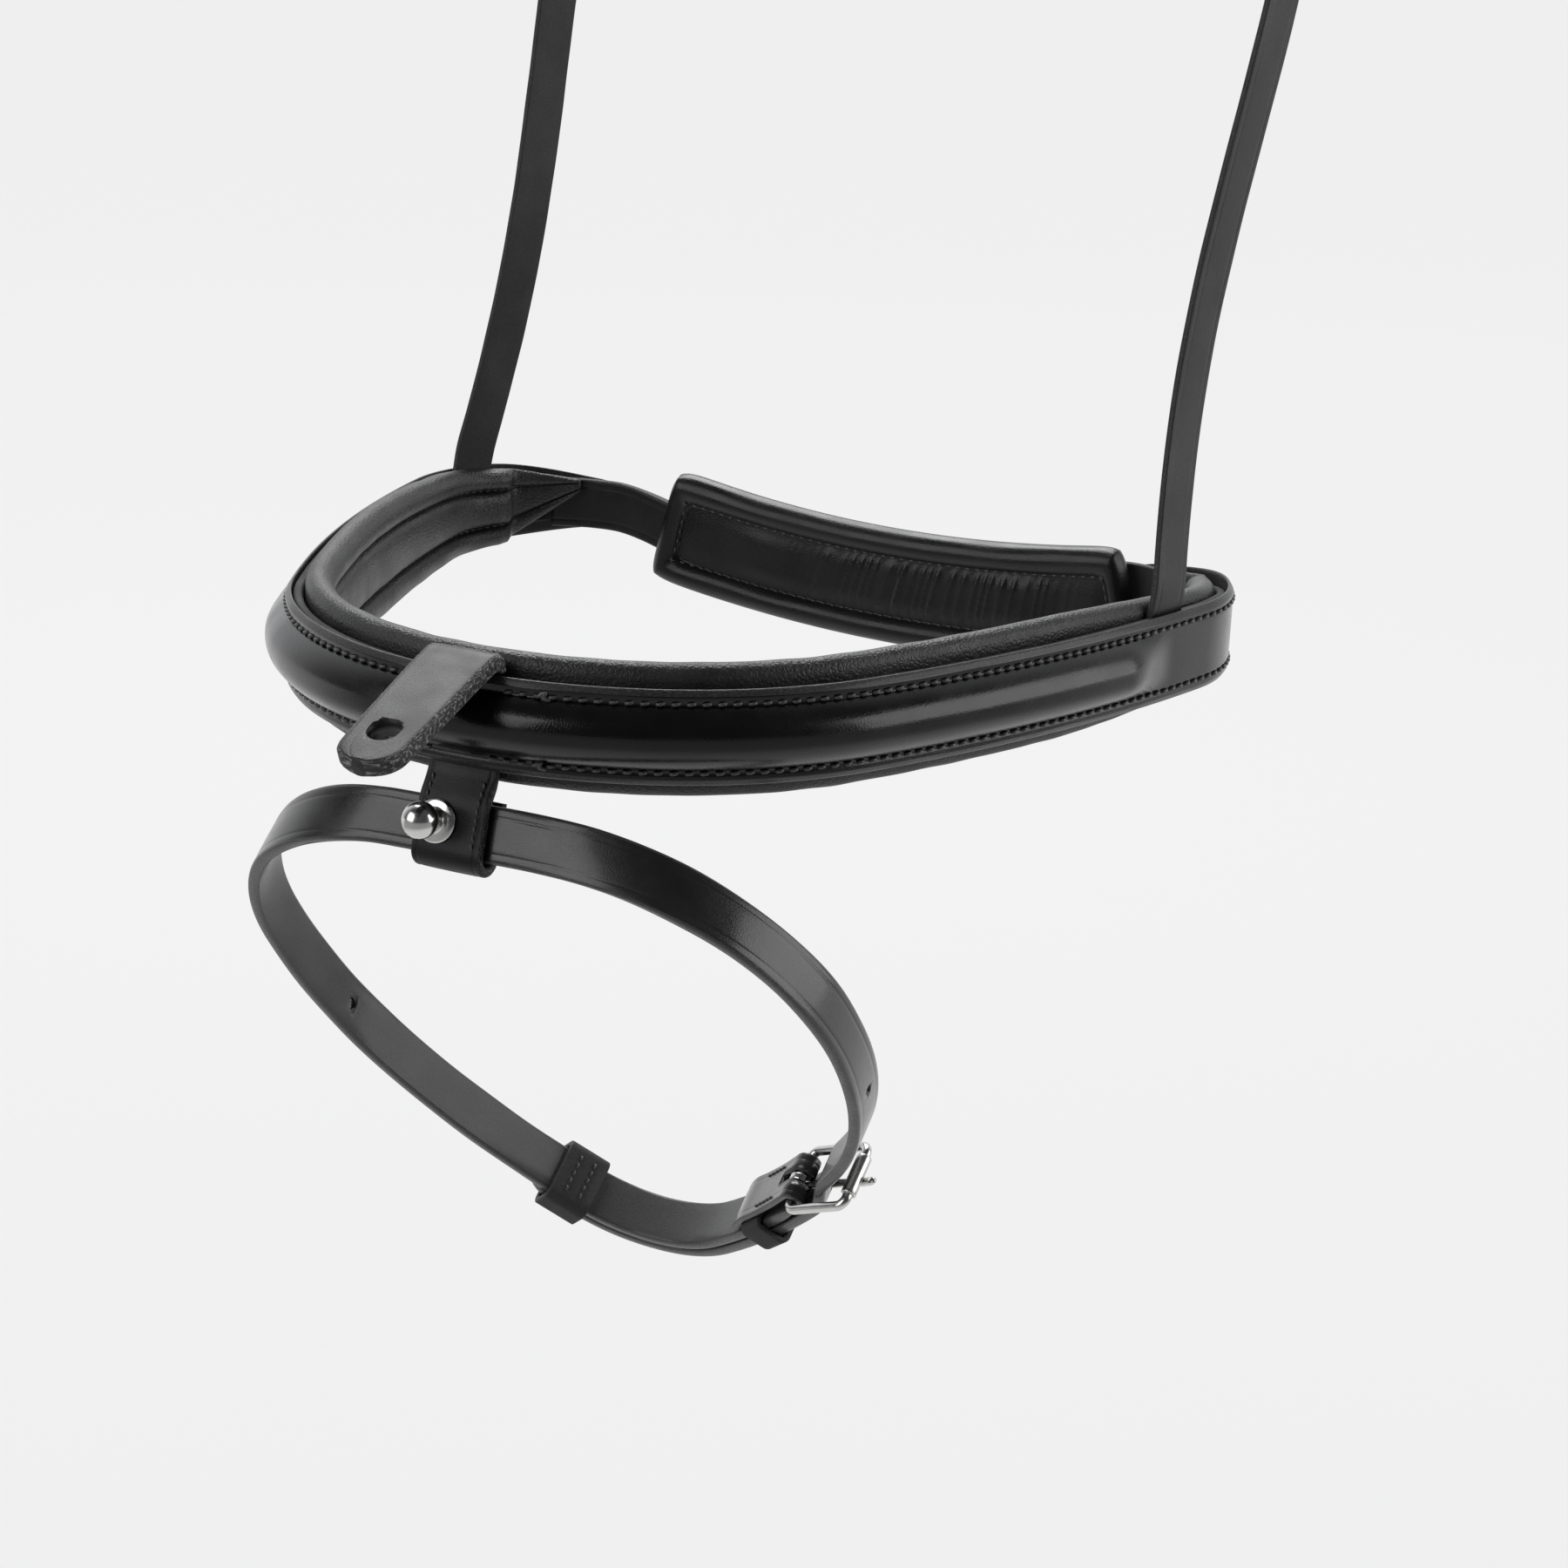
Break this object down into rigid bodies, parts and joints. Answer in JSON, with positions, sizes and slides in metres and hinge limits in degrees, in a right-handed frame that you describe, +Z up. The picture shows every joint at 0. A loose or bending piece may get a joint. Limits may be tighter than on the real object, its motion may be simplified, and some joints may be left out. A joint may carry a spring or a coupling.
{
  "type": "bridle noseband with flash strap",
  "caption": "Black leather padded bridle noseband with raised stitched nosepiece, jaw pad, hanger straps and a buckled flash strap with stud and tab.",
  "frame": {"origin": "midway between the roller bars of the two hanger buckles, the place that the noseband hangs from", "axes": "+Z up, -Y out over the front of the horse's nose, +X to the horse's near (left) side"},
  "size_m": [0.2473, 0.2728, 0.3829],
  "materials": {
    "nosepiece_leather": "smooth black, glossy",
    "nosepiece_filler": "rough split",
    "nosepiece_backing": "flesh side black",
    "nosepiece_padding": "soft grained black",
    "flash_tab_root": "smooth black bridle leather",
    "flash_loop_root": "smooth black bridle leather",
    "off_hanger_strap": "smooth black bridle leather",
    "off_hanger_keeper": "smooth black bridle leather",
    "near_hanger_strap": "smooth black bridle leather",
    "near_hanger_keeper": "smooth black bridle leather",
    "near_chape": "smooth black bridle leather",
    "chin_strap": "smooth black bridle leather",
    "chin_chape": "smooth black bridle leather",
    "chin_fixed_keeper": "smooth black bridle leather",
    "flash_tab": "smooth black",
    "flash_loop": "smooth black bridle leather",
    "flash_stud": "polished stainless steel",
    "stud_screw": "polished stainless steel",
    "flash_strap": "smooth black bridle leather",
    "flash_fixed_keeper": "smooth black bridle leather",
    "flash_sliding_keeper": "smooth black bridle leather",
    "near_ring": "polished stainless steel",
    "chin_pad": "soft black, satin",
    "pad_loop_off": "smooth black bridle leather",
    "pad_loop_near": "smooth black bridle leather",
    "flash_buckle_frame": "polished stainless steel",
    "flash_buckle_prong": "polished stainless steel",
    "flash_buckle_roller": "polished stainless steel",
    "chin_buckle_frame": "polished stainless steel",
    "chin_buckle_prong": "polished stainless steel",
    "chin_buckle_roller": "polished stainless steel",
    "near_hanger_buckle_frame": "polished stainless steel",
    "near_hanger_buckle_prong": "polished stainless steel",
    "near_hanger_buckle_roller": "polished stainless steel",
    "off_hanger_buckle_frame": "polished stainless steel",
    "off_hanger_buckle_prong": "polished stainless steel",
    "off_hanger_buckle_roller": "polished stainless steel"
  },
  "bodies": {
    "noseband": {"nosepiece_leather": "nosepiece_leather", "nosepiece_filler": "nosepiece_filler", "nosepiece_backing": "nosepiece_backing", "nosepiece_padding": "nosepiece_padding", "flash_tab_root": "flash_tab_root", "flash_loop_root": "flash_loop_root", "off_hanger_strap": "off_hanger_strap", "off_hanger_keeper": "off_hanger_keeper", "near_hanger_strap": "near_hanger_strap", "near_hanger_keeper": "near_hanger_keeper", "near_chape": "near_chape", "chin_strap": "chin_strap", "chin_chape": "chin_chape", "chin_fixed_keeper": "chin_fixed_keeper"},
    "tab": {"flash_tab": "flash_tab"},
    "loop": {"flash_loop": "flash_loop", "flash_stud": "flash_stud", "stud_screw": "stud_screw"},
    "flash": {"flash_strap": "flash_strap", "flash_fixed_keeper": "flash_fixed_keeper"},
    "slider": {"flash_sliding_keeper": "flash_sliding_keeper"},
    "ring": {"near_ring": "near_ring"},
    "jaw_pad": {"chin_pad": "chin_pad", "pad_loop_off": "pad_loop_off", "pad_loop_near": "pad_loop_near"},
    "flash_buckle_frame": {"flash_buckle_frame": "flash_buckle_frame"},
    "flash_buckle_prong": {"flash_buckle_prong": "flash_buckle_prong"},
    "flash_buckle_roller": {"flash_buckle_roller": "flash_buckle_roller"},
    "chin_buckle_frame": {"chin_buckle_frame": "chin_buckle_frame"},
    "chin_buckle_prong": {"chin_buckle_prong": "chin_buckle_prong"},
    "chin_buckle_roller": {"chin_buckle_roller": "chin_buckle_roller"},
    "near_hanger_buckle_frame": {"near_hanger_buckle_frame": "near_hanger_buckle_frame"},
    "near_hanger_buckle_prong": {"near_hanger_buckle_prong": "near_hanger_buckle_prong"},
    "near_hanger_buckle_roller": {"near_hanger_buckle_roller": "near_hanger_buckle_roller"},
    "off_hanger_buckle_frame": {"off_hanger_buckle_frame": "off_hanger_buckle_frame"},
    "off_hanger_buckle_prong": {"off_hanger_buckle_prong": "off_hanger_buckle_prong"},
    "off_hanger_buckle_roller": {"off_hanger_buckle_roller": "off_hanger_buckle_roller"}
  },
  "joints": [
    {"name": "flash_tab_fold", "type": "hinge", "parent": "noseband", "child": "tab", "pos_m": [-0.00937, -0.20415, -0.19831], "axis": [1, 0, 0], "range_deg": [-14, 24]},
    {"name": "flash_loop_swing", "type": "hinge", "parent": "noseband", "child": "loop", "pos_m": [-0.01017, -0.20135, -0.22041], "axis": [1, 0, 0], "range_deg": [-15, 8]},
    {"name": "flash_strap_slide", "type": "slide", "parent": "loop", "child": "flash", "axis": [0.9998, 0, 0.0209], "range_m": [-0.003, 0.003]},
    {"name": "flash_keeper_slide", "type": "slide", "parent": "flash", "child": "slider", "axis": [-0.7319, -0.4183, 0.5378], "range_m": [-0.003, 0.003]},
    {"name": "flash_buckle_swing", "type": "hinge", "parent": "flash", "child": "flash_buckle_frame", "pos_m": [0.04043, -0.12481, -0.33916], "axis": [-0.0126, 0.7975, 0.6032], "range_deg": [-2.5, 1.5]},
    {"name": "flash_buckle_prong_swing", "type": "hinge", "parent": "flash_buckle_frame", "child": "flash_buckle_prong", "pos_m": [0.04043, -0.12481, -0.33916], "axis": [-0.0126, 0.7975, 0.6032], "range_deg": [0, 1]},
    {"name": "flash_buckle_roller_turn", "type": "hinge", "parent": "flash_buckle_frame", "child": "flash_buckle_roller", "pos_m": [0.05806, -0.13033, -0.3315], "axis": [-0.0126, 0.7975, 0.6032], "continuous": true},
    {"name": "chin_buckle_swing", "type": "hinge", "parent": "noseband", "child": "chin_buckle_frame", "pos_m": [-0.03257, 0.00626, -0.20981], "axis": [0, 0, 1], "range_deg": [-2.5, 1.5]},
    {"name": "chin_buckle_prong_swing", "type": "hinge", "parent": "chin_buckle_frame", "child": "chin_buckle_prong", "pos_m": [-0.03257, 0.00626, -0.20981], "axis": [0, 0, 1], "range_deg": [0, 1]},
    {"name": "chin_buckle_roller_turn", "type": "hinge", "parent": "chin_buckle_frame", "child": "chin_buckle_roller", "pos_m": [-0.01407, 0.01386, -0.20981], "axis": [0, 0, 1], "continuous": true},
    {"name": "near_hanger_buckle_swing", "type": "hinge", "parent": "noseband", "child": "near_hanger_buckle_frame", "pos_m": [0.10593, -0.02103, -0.0181], "axis": [0.2182, 0.9535, -0.2079], "range_deg": [-12, 30]},
    {"name": "near_hanger_buckle_prong_swing", "type": "hinge", "parent": "near_hanger_buckle_frame", "child": "near_hanger_buckle_prong", "pos_m": [0.10593, -0.02103, -0.0181], "axis": [0.2182, 0.9535, -0.2079], "range_deg": [0, 64]},
    {"name": "near_hanger_buckle_roller_turn", "type": "hinge", "parent": "near_hanger_buckle_frame", "child": "near_hanger_buckle_roller", "pos_m": [0.1142, -0.01898, 0], "axis": [0.2182, 0.9535, -0.2079], "continuous": true},
    {"name": "off_hanger_buckle_swing", "type": "hinge", "parent": "noseband", "child": "off_hanger_buckle_frame", "pos_m": [-0.10812, 0.01301, -0.0181], "axis": [-0.2966, -0.9321, 0.2079], "range_deg": [-12, 30]},
    {"name": "off_hanger_buckle_prong_swing", "type": "hinge", "parent": "off_hanger_buckle_frame", "child": "off_hanger_buckle_prong", "pos_m": [-0.10812, 0.01301, -0.0181], "axis": [-0.2966, -0.9321, 0.2079], "range_deg": [0, 64]},
    {"name": "off_hanger_buckle_roller_turn", "type": "hinge", "parent": "off_hanger_buckle_frame", "child": "off_hanger_buckle_roller", "pos_m": [-0.1142, 0.01898, 0], "axis": [-0.2966, -0.9321, 0.2079], "continuous": true},
    {"name": "near_ring_swing", "type": "hinge", "parent": "noseband", "child": "ring", "pos_m": [0.05453, 0.00491, -0.20981], "axis": [0, 0, 1], "range_deg": [-2, 2]},
    {"name": "jaw_pad_slide", "type": "slide", "parent": "noseband", "child": "jaw_pad", "axis": [1, 0, 0], "range_m": [-0.014, 0]}
  ]
}
